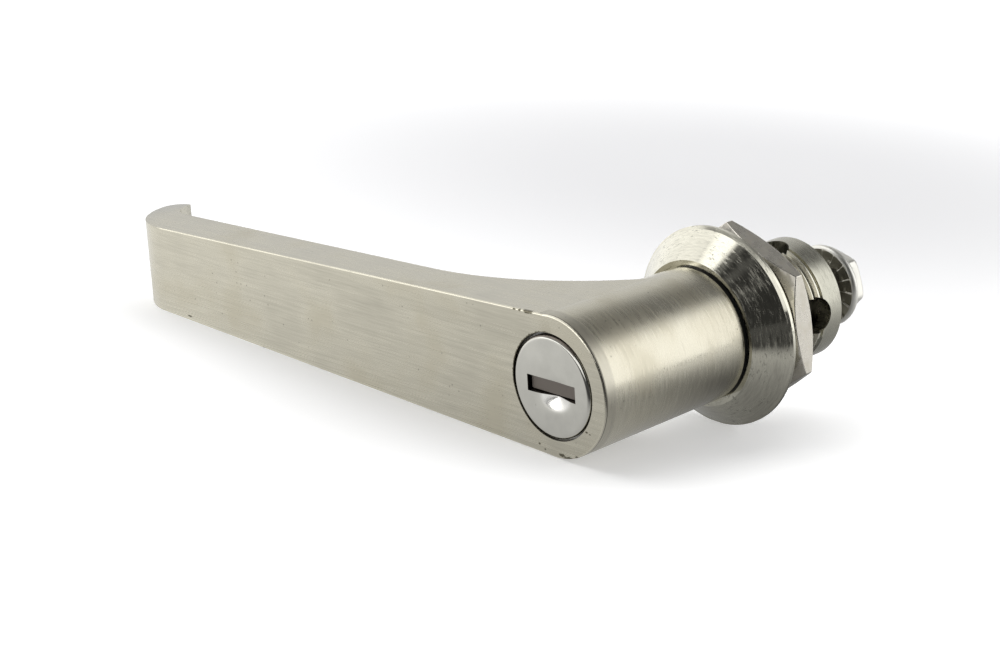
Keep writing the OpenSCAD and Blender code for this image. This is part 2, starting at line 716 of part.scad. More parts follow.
module lock_plug() color(BRASS)
    difference() {
        union() {
            bar(plug_r, cap_back_y, plug_end_y);
            translate([-stub_af / 2, plug_end_y - cut, -stub_af / 2]) cube([stub_af, stub_len, stub_af]);
        }
        key_slot(keyway_w, keyway_h, cap_back_y - 1, keyway_end_y);
        translate([-shutter_w / 2 - side_play, cap_back_y - cut, slot_z - slot_h / 2])
            cube([shutter_w + 2 * side_play, chamber_end_y - cap_back_y,
                shutter_pin_z + chamber_h - slot_z + slot_h / 2]);
        shutter_axis(plug_r, shutter_pin_d / 2 + fitted);
        for (k = [0 : wafers - 1])
            translate([-wafer_w / 2 - side_play, wafer_place(k) - wafer_play, -wafer_h / 2 - wafer_play])
                cube([wafer_w + 2 * side_play, wafer_t + 2 * wafer_play, wafer_h + 2 * wafer_play]);
        ring(plug_r - clip_groove_depth, plug_d, clip_y - running, clip_y + clip_t + running);
        for (k = [0 : wafers - 1]) spring_pocket(k, spring_room_r);
        bar(driver_screw_d / 2 + fitted, plug_end_y - tail_hole_depth, far);
    }

module lock_shell() color(ZINC)
    difference() {
        bar(lock_bore_d / 2 - fitted, shell_y, shell_end_y);
        bar(plug_r + running, shell_y - 1, shell_end_y + 1);
        for (side = [0, 1])
            mirror([side, 0, 0]) translate([plug_r - 1, wafer_y - wafer_wall, -wafer_recess_h / 2])
                cube([1 + wafer_recess_depth, wafers * wafer_pitch + wafer_wall, wafer_recess_h]);
        translate([0, set_screw_y, 0])
            radial(270, set_screw_d / 2 + fitted, set_screw_in_r - fitted, lock_bore_d);
    }

// small headless screw that keeps the lock from being pulled out, below the barrel
module lock_set_screw() color(TAUPE)
    translate([0, set_screw_y, 0])
        difference() {
            radial(270, set_screw_d / 2, set_screw_in_r, hub_r - set_sink);
            rotate([0, -270, 0]) translate([hub_r - set_sink - set_key_depth, 0, 0]) rotate([0, 90, 0])
                cylinder(h = far, r = set_key_af / 2 / cos(30), $fn = 6);
        }

module wafers() color(BRASS)
    for (k = [0 : wafers - 1])
        difference() {
            translate([-wafer_w / 2, wafer_place(k), -wafer_h / 2]) cube([wafer_w, wafer_t, wafer_h]);
            translate([wafer_rim + wafer_shift(k) - keyway_w / 2, wafer_place(k) - 1,
                slot_z - keyway_h / 2 - wafer_play])
                cube([keyway_w - 2 * wafer_rim, wafer_t + 2, keyway_h + 2 * wafer_play]);
            translate([wafer_play, 0, 0]) spring_pocket(k, spring_room_r + wafer_play);
        }

module wafer_springs() color(ZINC)
    for (k = [0 : wafers - 1])
        translate([spring_x + spring_end_gap, wafer_place(k) + wafer_t / 2, wafer_h / 2]) rotate([0, 90, 0])
            coil(spring_coil_r, spring_wire_d / 2, 4, spring_len - 2 * spring_end_gap, 8, 4);

// dust shutter hung on its pin behind the slot; the key pushes it inwards
module shutter() color(TAUPE)
    difference() {
        union() {
            translate([-shutter_w / 2, shutter_y, shutter_foot_z])
                cube([shutter_w, shutter_t, shutter_pin_z - shutter_foot_z]);
            shutter_axis(shutter_w / 2, eye_r);
        }
        shutter_axis(shutter_w, shutter_pin_d / 2 + running);
        translate([-eye_notch_w / 2, shutter_y - 1, shutter_pin_z - eye_r - eye_notch_room])
            cube([eye_notch_w, far, far]);
    }

module shutter_pin() color(ZINC)
    shutter_axis(plug_r - pin_sink, shutter_pin_d / 2);

module shutter_spring() color(ZINC)
    translate([-shutter_coil_len / 2, shutter_pin_y, shutter_pin_z]) rotate([0, 90, 0])
        coil(shutter_coil_r, shutter_wire_d / 2, 5, shutter_coil_len, 12, 5);

// spring clip that keeps the plug in its shell
module plug_clip() color(ZINC)
    translate([0, clip_y, 0]) rotate([-90, 0, 0]) rotate_extrude(angle = clip_angle)
        translate([plug_r - clip_groove_depth + running, 0]) square([clip_w, clip_t]);

// a ramp round an axis: it rises over the first angle and runs level over the second
module ramp(r_in, r_out, rise, climb, level, steps) {
    points = [for (k = [0 : steps])
        let (a = (climb + level) * k / steps, h = ramp_start + rise * min(1, a / climb))
        each [[r_in * cos(a), r_in * sin(a), -ramp_root], [r_out * cos(a), r_out * sin(a), -ramp_root],
            [r_out * cos(a), r_out * sin(a), h], [r_in * cos(a), r_in * sin(a), h]]];
    walls = [for (k = [0 : steps - 1]) for (s = [0 : 3])
        let (n = (s + 1) % 4, here = 4 * k, next = here + 4)
        each [[here + s, here + n, next + n], [here + s, next + n, next + s]]];
    last = 4 * steps;
    ends = [[0, 2, 1], [0, 3, 2], [last, last + 1, last + 2], [last, last + 2, last + 3]];
    polyhedron(points, concat(walls, ends), convexity = 6);
}

// driver on the plug's tail: its ramp pushes the locking pin back
module lock_driver() color(ZINC)
    difference() {
        union() {
            bar(driver_r, driver_y, driver_end_y);
            translate([0, driver_end_y, 0]) rotate([-90, 0, 0]) rotate([0, 0, 90]) mirror([0, 1, 0])
                ramp(ramp_in_r, driver_r - ramp_edge, bolt_travel, swing, ramp_level, 38);
        }
        translate([-stub_af / 2 - fitted, driver_y - 1, -stub_af / 2 - fitted])
            cube([stub_af + 2 * fitted, 1 + stub_len, stub_af + 2 * fitted]);
        bar(driver_screw_d / 2 + gap, driver_y - 1, driver_end_y + 1);
        turned([[0, driver_end_y - driver_head_h], [driver_screw_d / 2 + gap, driver_end_y - driver_head_h],
            [driver_head_d / 2 + gap, driver_end_y + cut], [0, driver_end_y + cut]]);
    }

module driver_screw() color(ZINC)
    difference() {
        turned([[0, plug_end_y - tail_screw_depth], [driver_screw_d / 2, plug_end_y - tail_screw_depth],
            [driver_screw_d / 2, driver_end_y - driver_head_h + running],
            [driver_head_d / 2, driver_end_y - driver_head_sink], [0, driver_end_y - driver_head_sink]]);
        translate([-driver_head_d / 2, driver_end_y - driver_head_sink - driver_slot_depth,
            -driver_slot_w / 2])
            cube([driver_head_d, 1, driver_slot_w]);
    }

// the pin that locks the handle to the housing's notches
module locking_pin() color(ZINC)
    bolt_place() union() {
        bar(bolt_d / 2, bolt_head_y, bolt_rest_tip_y);
        translate([0, bolt_head_y, 0]) sphere(r = bolt_head_r, $fn = 48);
        bar(bolt_collar_r, bolt_head_y, bolt_head_y + bolt_collar_t);
    }

module locking_pin_spring() color(ZINC)
    bolt_place() translate([0, bolt_spring_y + bolt_wire_d / 2, 0]) rotate([-90, 0, 0])
        coil(bolt_spring_r, bolt_wire_d / 2, 4, bolt_spring_len, 14, 6);

handle();
housing();
hex_nut();
rosette_seal();
front_thrust_washer();
bearing_bush();
rear_thrust_washer();
spindle();
spindle_o_ring();
spindle_clamp_screw();
clamp_washer();
stop_screw();
cam_screw();
lock_cap();
lock_plug();
lock_shell();
lock_set_screw();
wafers();
wafer_springs();
shutter();
shutter_pin();
shutter_spring();
plug_clip();
lock_driver();
driver_screw();
locking_pin();
locking_pin_spring();
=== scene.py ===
import json

import bmesh
import bpy
import numpy as np
from mathutils import Matrix, Vector


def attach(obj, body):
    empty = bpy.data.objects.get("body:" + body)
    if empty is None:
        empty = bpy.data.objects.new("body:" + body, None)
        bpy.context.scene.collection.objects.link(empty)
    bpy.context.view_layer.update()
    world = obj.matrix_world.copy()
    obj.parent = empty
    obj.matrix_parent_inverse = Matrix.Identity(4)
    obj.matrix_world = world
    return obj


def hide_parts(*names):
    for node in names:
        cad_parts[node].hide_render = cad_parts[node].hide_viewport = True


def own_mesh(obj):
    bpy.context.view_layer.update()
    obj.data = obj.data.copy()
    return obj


MM = 0.001

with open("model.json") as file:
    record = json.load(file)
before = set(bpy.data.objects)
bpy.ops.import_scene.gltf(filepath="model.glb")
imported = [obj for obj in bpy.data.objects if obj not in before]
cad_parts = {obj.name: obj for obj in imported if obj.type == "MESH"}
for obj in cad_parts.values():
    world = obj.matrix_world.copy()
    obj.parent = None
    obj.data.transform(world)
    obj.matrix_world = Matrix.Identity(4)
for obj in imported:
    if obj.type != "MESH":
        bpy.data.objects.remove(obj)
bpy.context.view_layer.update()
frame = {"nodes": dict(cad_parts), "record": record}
nodes = frame["nodes"]


# Sizes in metres, the same as in the part's source.

FACE_Y = -40.25 * MM
GRIP_LEN = 121.5 * MM
ROSETTE_R = 17.95 * MM
HUB_R = 12.5 * MM


# Node trees

def new_tree(name):
    """A material with an empty node tree and its output node."""
    material = bpy.data.materials.new(name)
    material.use_nodes = True
    tree = material.node_tree
    tree.nodes.clear()
    out = tree.nodes.new("ShaderNodeOutputMaterial")
    return material, tree, out


def add(tree, kind, **values):
    """One node, with its settings by attribute name and its inputs by socket name."""
    node = tree.nodes.new(kind)
    for name, value in values.items():
        if hasattr(node, name) and not name[0].isupper():
            setattr(node, name, value)
        else:
            node.inputs[name.replace("_", " ")].default_value = value
    return node


def link(tree, start, end):
    tree.links.new(start, end)


def maths(tree, operation, a, b=None, clamp=False):
    """A maths node on sockets or numbers; gives its output socket."""
    node = tree.nodes.new("ShaderNodeMath")
    node.operation = operation
    node.use_clamp = clamp
    for k, value in enumerate((a, b)):
        if value is None:
            continue
        if isinstance(value, (int, float)):
            node.inputs[k].default_value = value
        else:
            tree.links.new(value, node.inputs[k])
    return node.outputs[0]


def plus(tree, a, b, clamp=False):
    return maths(tree, "ADD", a, b, clamp)


def minus(tree, a, b):
    return maths(tree, "SUBTRACT", a, b)


def times(tree, a, b):
    return maths(tree, "MULTIPLY", a, b)


def squares(tree, a, b):
    """The sum of two sockets' squares."""
    return plus(tree, times(tree, a, a), times(tree, b, b))


def smooth_step(tree, value, start, end, low=0.0, high=1.0):
    """Goes smoothly from low at start to high at end; start may be above end."""
    node = tree.nodes.new("ShaderNodeMapRange")
    node.interpolation_type = "SMOOTHSTEP"
    if start > end:
        start, end, low, high = end, start, high, low
    for name, number in (("From Min", start), ("From Max", end), ("To Min", low), ("To Max", high)):
        node.inputs[name].default_value = number
    tree.links.new(value, node.inputs["Value"])
    return node.outputs["Result"]


def blend_colour(tree, factor, a, b):
    """A colour mix; a and b are sockets or colours."""
    node = tree.nodes.new("ShaderNodeMix")
    node.data_type = "RGBA"
    for socket, value in ((node.inputs[0], factor), (node.inputs[6], a), (node.inputs[7], b)):
        if isinstance(value, (int, float, tuple)):
            socket.default_value = value
        else:
            tree.links.new(value, socket)
    return node.outputs[2]


def group_tree(name, inputs, outputs):
    """A node group with named sockets; gives the tree, its input node and its output node."""
    tree = bpy.data.node_groups.new(name, "ShaderNodeTree")
    for socket, kind, default in inputs:
        made = tree.interface.new_socket(name=socket, in_out="INPUT", socket_type=kind)
        if default is not None:
            made.default_value = default
    for socket, kind in outputs:
        tree.interface.new_socket(name=socket, in_out="OUTPUT", socket_type=kind)
    return tree, tree.nodes.new("NodeGroupInput"), tree.nodes.new("NodeGroupOutput")


def place(tree, group, **values):
    """A group placed in a tree, with its values by socket name."""
    node = tree.nodes.new("ShaderNodeGroup")
    node.node_tree = group
    for name, value in values.items():
        socket = node.inputs[name.replace("_", " ")]
        if isinstance(value, (int, float, tuple)):
            socket.default_value = value
        else:
            tree.links.new(value, socket)
    return node


def make_grain():
    """Brushing: two noises stretched by Stretch, a fine one and a broad one, summed to a height
    between 0 and 1; Streaks is their even mix, for colour and roughness."""
    tree, start, end = group_tree(
        "brushed_grain",
        [("Vector", "NodeSocketVector", None), ("Stretch", "NodeSocketVector", (60, 4000, 4000))],
        [("Height", "NodeSocketFloat"), ("Streaks", "NodeSocketFloat")])
    scaled = tree.nodes.new("ShaderNodeVectorMath")
    scaled.operation = "MULTIPLY"
    link(tree, start.outputs["Vector"], scaled.inputs[0])
    link(tree, start.outputs["Stretch"], scaled.inputs[1])
    fine = add(tree, "ShaderNodeTexNoise", Scale=1.0, Detail=2.0, Roughness=0.6)
    broad = add(tree, "ShaderNodeTexNoise", Scale=0.42, Detail=2.0, Roughness=0.5)
    link(tree, scaled.outputs[0], fine.inputs["Vector"])
    link(tree, scaled.outputs[0], broad.inputs["Vector"])
    both = plus(tree, times(tree, fine.outputs[0], 0.6), times(tree, broad.outputs[0], 0.4))
    even = times(tree, plus(tree, fine.outputs[0], broad.outputs[0]), 0.5)
    link(tree, both, end.inputs["Height"])
    link(tree, even, end.inputs["Streaks"])
    return tree


def make_marks():
    """Handling marks: Blotch is a soft noise for uneven sheen, Pits are small sparse dots where
    a cell noise comes close to its cell centres and a coarse noise allows them."""
    tree, start, end = group_tree(
        "handling_marks",
        [("Vector", "NodeSocketVector", None), ("Blotch Scale", "NodeSocketFloat", 60.0),
         ("Pit Scale", "NodeSocketFloat", 700.0), ("Pit Size", "NodeSocketFloat", 0.12)],
        [("Blotch", "NodeSocketFloat"), ("Pits", "NodeSocketFloat")])
    soft = add(tree, "ShaderNodeTexNoise", Detail=2.0, Roughness=0.5)
    link(tree, start.outputs["Vector"], soft.inputs["Vector"])
    link(tree, start.outputs["Blotch Scale"], soft.inputs["Scale"])
    cells = add(tree, "ShaderNodeTexVoronoi")
    link(tree, start.outputs["Vector"], cells.inputs["Vector"])
    link(tree, start.outputs["Pit Scale"], cells.inputs["Scale"])
    near = maths(tree, "LESS_THAN", cells.outputs["Distance"], start.outputs["Pit Size"])
    allow = add(tree, "ShaderNodeTexNoise", Scale=240.0, Detail=1.0)
    link(tree, start.outputs["Vector"], allow.inputs["Vector"])
    some = maths(tree, "GREATER_THAN", allow.outputs[0], 0.6)
    link(tree, soft.outputs[0], end.inputs["Blotch"])
    link(tree, times(tree, near, some), end.inputs["Pits"])
    return tree


GRAIN = make_grain()
MARKS = make_marks()


def toned(colour, factor):
    """A colour made lighter or darker by a factor, with its alpha."""
    return tuple(min(1.0, c * factor) for c in colour) + (1,)


def bump_by(tree, height, distance, shader):
    """Bumps a shader's surface by a height socket, over a distance in metres."""
    bump = add(tree, "ShaderNodeBump", Strength=1.0, Distance=distance)
    link(tree, height, bump.inputs["Height"])
    link(tree, bump.outputs[0], shader.inputs["Normal"])


STAIN_TINT = (0.80, 0.775, 0.71)
DASH_SPREAD = 2.6
DASH_FINENESS = 9500


def metal(name, colour, roughness, stretch, grain, tint=0.10, blotch=0.12, blotch_scale=60.0,
          pits=0.3, dark=0.35, dashes=0.0, scratches=0.0, stain=0.0, grain_mask=None,
          second_stretch=None, shape=None):
    """A metal with brushed grain as bump, streaked colour, uneven roughness, brown stains, small
    pits, short dark dashes, rough scratches along the grain, and brighter eased edges, partly wear
    and partly a painted highlight. stretch is the grain's fineness by axis and grain its height in
    mm; tint and blotch say how far streaks and blotches shade the colour, dark how much of it is
    left in pits and dashes. grain_mask(tree, x, y, z) gives a 0 to 1 socket that swaps the grain
    for the second one; shape(tree, x, y, z, base, rough) may work over the colour and the roughness
    by place."""
    material, tree, out = new_tree(name)
    shader = add(tree, "ShaderNodeBsdfPrincipled", Metallic=1.0)
    link(tree, shader.outputs[0], out.inputs["Surface"])
    spot = tree.nodes.new("ShaderNodeTexCoord").outputs["Object"]
    axes = tree.nodes.new("ShaderNodeSeparateXYZ")
    link(tree, spot, axes.inputs[0])
    height, streaks = place(tree, GRAIN, Vector=spot, Stretch=stretch).outputs
    if second_stretch:
        mask = grain_mask(tree, *axes.outputs)
        other = place(tree, GRAIN, Vector=spot, Stretch=second_stretch).outputs
        keep = minus(tree, 1.0, mask)
        height, streaks = [plus(tree, times(tree, first, keep), times(tree, second, mask))
                           for first, second in zip((height, streaks), other)]
    uneven, pit = place(tree, MARKS, Vector=spot, Blotch_Scale=blotch_scale).outputs
    shade = plus(tree, times(tree, minus(tree, streaks, 0.5), tint * 2),
                 times(tree, minus(tree, uneven, 0.5), blotch * 2))
    base = blend_colour(tree, plus(tree, shade, 0.5, clamp=True),
                        toned(colour, 0.82), toned(colour, 1.18))
    if stain:
        brown = tuple(c * k for c, k in zip(colour, STAIN_TINT)) + (1,)
        base = blend_colour(tree, smooth_step(tree, uneven, 0.46, 0.74, 0.0, stain), base, brown)
    dirt = toned(colour, dark)
    base = blend_colour(tree, times(tree, pit, pits), base, dirt)
    if dashes:
        short = place(tree, GRAIN, Vector=spot, Stretch=(
            DASH_SPREAD * stretch[0], DASH_FINENESS, DASH_SPREAD * stretch[2]))
        dash = times(tree, smooth_step(tree, short.outputs["Streaks"], 0.55, 0.62, 0.0, dashes),
                     smooth_step(tree, uneven, 0.46, 0.58))
        base = blend_colour(tree, dash, base, dirt)
    rough = plus(tree, roughness, times(tree, shade, 0.35))
    if scratches:
        rough = plus(tree, rough, smooth_step(tree, height, 0.48, 0.62, 0.0, scratches))
    # Eased edges are made lighter, partly as wear and partly as a painted highlight.
    edge = times(tree, add(tree, "ShaderNodeAttribute", attribute_name="edge").outputs["Fac"],
                 smooth_step(tree, uneven, 0.30, 0.55, 0.45, 1.0))
    base = blend_colour(tree, edge, base, toned(colour, 1.2))
    rough = minus(tree, rough, times(tree, edge, 0.06))
    if shape:
        base, rough = shape(tree, *axes.outputs, base, rough)
    link(tree, base, shader.inputs["Base Color"])
    link(tree, maths(tree, "MAXIMUM", rough, 0.05, clamp=True), shader.inputs["Roughness"])
    bump_by(tree, height, grain * MM, shader)
    return material


def plain(name, colour, roughness):
    """Rubber or moulded plastic: a soft blotch in colour and roughness and a fine bump."""
    material, tree, out = new_tree(name)
    shader = add(tree, "ShaderNodeBsdfPrincipled", Metallic=0.0)
    link(tree, shader.outputs[0], out.inputs["Surface"])
    spot = tree.nodes.new("ShaderNodeTexCoord").outputs["Object"]
    soft = place(tree, MARKS, Vector=spot, Blotch_Scale=400.0).outputs["Blotch"]
    link(tree, blend_colour(tree, soft, toned(colour, 0.9), toned(colour, 1.1)),
         shader.inputs["Base Color"])
    link(tree, plus(tree, roughness - 0.08, times(tree, soft, 0.16)), shader.inputs["Roughness"])
    bump_by(tree, soft, 0.02 * MM, shader)
    return material


def on_barrel(tree, x, y, z):
    """1 on the round barrel, 0 on the flat front face and along the grip."""
    behind_face = maths(tree, "GREATER_THAN", y, FACE_Y + 0.06 * MM)
    near_axis = maths(tree, "LESS_THAN", squares(tree, x, z), (12.6 * MM) ** 2)
    right = maths(tree, "GREATER_THAN", x, -11.5 * MM)
    return times(tree, times(tree, behind_face, near_axis), right)


# Nicks of the handle: middle in x and z and half widths in x and z, in millimetres

NICKS = [
    (-5.0, 12.15, 1.1, 0.38), (-7.0, 12.0, 0.3, 0.2), (-8.3, 11.95, 0.35, 0.15),
    (3.4, -12.05, 1.5, 0.42), (1.5, -11.7, 0.7, 0.3), (5.0, -11.35, 0.35, 0.3),
    (-3.8, -10.9, 0.3, 0.2), (-2.5, -11.6, 0.25, 0.15), (7.64, -6.2, 0.3, 0.22),
    (8.4, -6.45, 0.2, 0.12), (-100.5, -7.9, 0.7, 0.18), (-78.0, -9.6, 0.35, 0.2),
]

# Colours of the handle's marks; the dark line behind the face and the grey tip are painted shade.
NICK_AND_RIM_DARK = (0.07, 0.06, 0.03, 1)
DULL_BAND = (0.30, 0.29, 0.26, 1)
EDGE_SHADE_LINE = (0.06, 0.055, 0.045, 1)
TIP_SHADE_GREY = (0.47, 0.475, 0.47, 1)


def handle_wear_and_shade(tree, x, y, z, base, rough):
    """The handle's marks by place: nicks in the face and its edge as ellipses with a ragged
    outline, a darker rim at the lock bore's upper left, a thin line of painted shade behind the
    face, a duller band on the barrel's first 2.6 mm, and painted shade that greys the rolled tip."""
    behind = minus(tree, y, FACE_Y)
    ragged = add(tree, "ShaderNodeTexNoise", Scale=2600.0, Detail=2.0)
    link(tree, tree.nodes.new("ShaderNodeTexCoord").outputs["Object"], ragged.inputs["Vector"])
    torn = times(tree, minus(tree, ragged.outputs[0], 0.5), 2.4)
    dark = None
    for mid_x, mid_z, half_x, half_z in NICKS:
        across = maths(tree, "DIVIDE", minus(tree, x, mid_x * MM), half_x * MM)
        up = maths(tree, "DIVIDE", minus(tree, z, mid_z * MM), half_z * MM)
        spot = smooth_step(tree, plus(tree, squares(tree, across, up), torn), 1.2, 0.6)
        dark = spot if dark is None else maths(tree, "MAXIMUM", dark, spot)
    on_face = smooth_step(tree, behind, 0.7 * MM, 0.4 * MM)
    away = maths(tree, "SQRT", squares(tree, x, z))
    lip = smooth_step(tree, plus(tree, times(tree, torn, 0.22 * MM), away), 9.62 * MM, 9.52 * MM)
    side = smooth_step(tree, minus(tree, z, times(tree, x, 1.3)), 8.5 * MM, 12 * MM)
    dark = times(tree, maths(tree, "MAXIMUM", dark, times(tree, lip, side)), on_face)
    base = blend_colour(tree, times(tree, dark, 0.85), base, NICK_AND_RIM_DARK)
    barrel = on_barrel(tree, x, y, z)
    band = times(tree, barrel, smooth_step(tree, behind, 2.9 * MM, 2.3 * MM))
    base = blend_colour(tree, times(tree, band, 0.22), base, DULL_BAND)
    # A thin line of painted shade on the barrel just behind the face's edge.
    line = times(tree, barrel, times(tree, smooth_step(tree, behind, 0.55 * MM, 0.42 * MM),
                                     smooth_step(tree, behind, 0.26 * MM, 0.34 * MM)))
    base = blend_colour(tree, times(tree, line, 0.75), base, EDGE_SHADE_LINE)
    rough = plus(tree, rough, times(tree, band, 0.10))
    # Painted shade greys the rolled tip.
    tip = smooth_step(tree, x, -112.0 * MM, -121.0 * MM, 0.0, 0.5)
    base = blend_colour(tree, tip, base, TIP_SHADE_GREY)
    return base, rough


HANDLE = metal("handle_brushed_steel", (0.635, 0.605, 0.50), 0.25, stretch=(130, 4200, 4200),
               grain=0.0003, tint=0.9, blotch=0.55, blotch_scale=85.0, pits=0.5, stain=0.5,
               grain_mask=on_barrel, second_stretch=(420, 4200, 420), shape=handle_wear_and_shade)


PLAIN_END_GREY = (0.36, 0.355, 0.30, 1)


def turned_places(tree, x, y, z, base, rough):
    """The tube is duller than the rosette's turned cone, and its plain end is greyer."""
    plain_end = smooth_step(tree, y, 15.0 * MM, 16.5 * MM, 0.0, 0.65)
    base = blend_colour(tree, plain_end, base, PLAIN_END_GREY)
    return base, plus(tree, rough, smooth_step(tree, y, 0.0, 1.0 * MM, 0.0, 0.14))


TURNED = metal("turned_steel", (0.70, 0.68, 0.58), 0.115, stretch=(700, 7000, 700), grain=0.0011,
               tint=1.2, blotch=0.5, blotch_scale=180.0, dashes=0.55, scratches=0.06, pits=0.6,
               dark=0.16, shape=turned_places)
NUT = metal("nut_steel", (0.66, 0.63, 0.56), 0.28, stretch=(1500, 1500, 1500), grain=0.002,
            tint=0.6, blotch=0.7, blotch_scale=420.0, pits=0.9, stain=0.45)
# The spindle, seen only deep inside the housing's cross holes, is coloured dark as painted shade.
SHADED_SPINDLE = metal("spindle_steel", (0.24, 0.23, 0.20), 0.42, stretch=(150, 3000, 150), grain=0.004)
ZINC = metal("zinc_plated_steel", (0.58, 0.59, 0.60), 0.28, stretch=(600, 600, 600), grain=0.006)

FLANGE_TEETH = 16
DARK_OLIVE = (0.26, 0.24, 0.16, 1)
# The crest colour is a painted highlight.
CREST_GLINT = (0.95, 0.93, 0.85, 1)


def under_flange(tree, x, y, z, base, rough):
    """The toothed side of the screw's flange is dark olive, apart from painted highlights on the
    teeth's crests.
    """
    away = maths(tree, "SQRT", squares(tree, x, z))
    under = times(tree, smooth_step(tree, y, 28.05 * MM, 27.85 * MM),
                  smooth_step(tree, away, 7.1 * MM, 6.85 * MM))
    base = blend_colour(tree, times(tree, under, 0.7), base, DARK_OLIVE)
    # Painted highlights along the teeth's crests.
    turn = times(tree, maths(tree, "ARCTAN2", z, x), FLANGE_TEETH / (2 * np.pi))
    tooth = maths(tree, "FRACT", plus(tree, turn, float(FLANGE_TEETH)))
    crest = times(tree, under, smooth_step(tree, tooth, 0.84, 0.93, 0.0, 0.8))
    base = blend_colour(tree, crest, base, CREST_GLINT)
    return base, plus(tree, rough, times(tree, under, 0.15))


SCREW = metal("screw_steel", (0.84, 0.83, 0.77), 0.42, stretch=(900, 900, 900), grain=0.002,
              tint=0.15, blotch=0.2, blotch_scale=400.0, shape=under_flange)


# Colours of the cap's painted highlight and painted shade, and of the chamber's dirt and painted
# shade.
DIP_HIGHLIGHT = (1.0, 0.985, 0.94, 1)
SLOT_WALL_SHADE = (0.24, 0.21, 0.18, 1)
SLOT_LEFT_SHADOW = (0.01, 0.01, 0.01, 1)
GRIME_AND_SHADE = (0.012, 0.011, 0.01, 1)


def cap_highlight_and_shade(tree, x, y, z, base, rough):
    """The cap's slot walls get painted shade, dull grey, and the left one a darker painted shadow;
    the dip below the slot gets a painted highlight."""
    # A painted highlight in the dip below the slot.
    dip = times(tree, smooth_step(tree, y, -40.48 * MM, -40.2 * MM),
                smooth_step(tree, squares(tree, x, z), (7.5 * MM) ** 2, (6.5 * MM) ** 2))
    base = blend_colour(tree, dip, base, DIP_HIGHLIGHT)
    # Painted shade on the slot's walls above its lower lip, darker on the left one.
    inside = times(tree, smooth_step(tree, y, -40.45 * MM, -40.35 * MM),
                   smooth_step(tree, maths(tree, "ABSOLUTE", x), 5.75 * MM, 5.7 * MM))
    above_lip = smooth_step(tree, z, -1.70 * MM, -1.66 * MM)
    shaded_wall = times(tree, inside, above_lip)
    base = blend_colour(tree, shaded_wall, base, SLOT_WALL_SHADE)
    left = times(tree, shaded_wall, smooth_step(tree, x, -5.5 * MM, -5.6 * MM))
    base = blend_colour(tree, left, base, SLOT_LEFT_SHADOW)
    return base, plus(tree, rough, times(tree, shaded_wall, 0.3))


def chamber_grime_and_shade(tree, x, y, z, base, rough):
    """Dark dirt and painted shade on the brass round the shutter, at the plug's front."""
    grime_and_shade = smooth_step(tree, y, -32.5 * MM, -34.5 * MM, 0.0, 0.96)
    return (blend_colour(tree, grime_and_shade, base, GRIME_AND_SHADE),
            plus(tree, rough, times(tree, grime_and_shade, 0.3)))


CAP = metal("cap_nickel", (0.665, 0.655, 0.60), 0.13, stretch=(500, 500, 500), grain=0.001,
            tint=0.15, blotch=0.35, blotch_scale=300.0, pits=0.4, shape=cap_highlight_and_shade)
BRASS = metal("lock_brass", (0.66, 0.50, 0.24), 0.28, stretch=(200, 2500, 200), grain=0.008,
              shape=chamber_grime_and_shade)
CAST = metal("lock_zinc", (0.48, 0.48, 0.48), 0.42, stretch=(700, 700, 700), grain=0.01)
WIRE = metal("spring_steel", (0.50, 0.50, 0.50), 0.25, stretch=(900, 900, 900), grain=0.003)
SHUTTER = metal("shutter_steel", (0.21, 0.187, 0.165), 0.45, stretch=(2500, 900, 900),
                grain=0.002, tint=0.2)
RUBBER = plain("seal_rubber", (0.018, 0.018, 0.018), 0.6)
BLACK = plain("washer_black", (0.012, 0.012, 0.012), 0.55)
BUSH = plain("bush_plastic", (0.70, 0.69, 0.62), 0.45)

FINISH = {
    "handle_steel": HANDLE, "turned_steel": TURNED, "nut_steel": NUT, "seal_rubber": RUBBER,
    "washer_black": BLACK, "bush_plastic": BUSH, "spindle_steel": SHADED_SPINDLE, "zinc_steel": ZINC,
    "screw_steel": SCREW, "cap_nickel": CAP, "lock_brass": BRASS, "lock_zinc": CAST,
    "spring_steel": WIRE, "shutter_steel": SHUTTER,
}

slot_of = {part["node"]: part["material_slot"] for part in frame["record"]["subparts"]}
body_of = {node: body for body, names in frame["record"]["behaviour"]["bodies"].items()
           for node in names}
for name, node in nodes.items():
    node.data.materials.clear()
    node.data.materials.append(FINISH[slot_of[name]])


# Pieces with finer form than the frame's solids

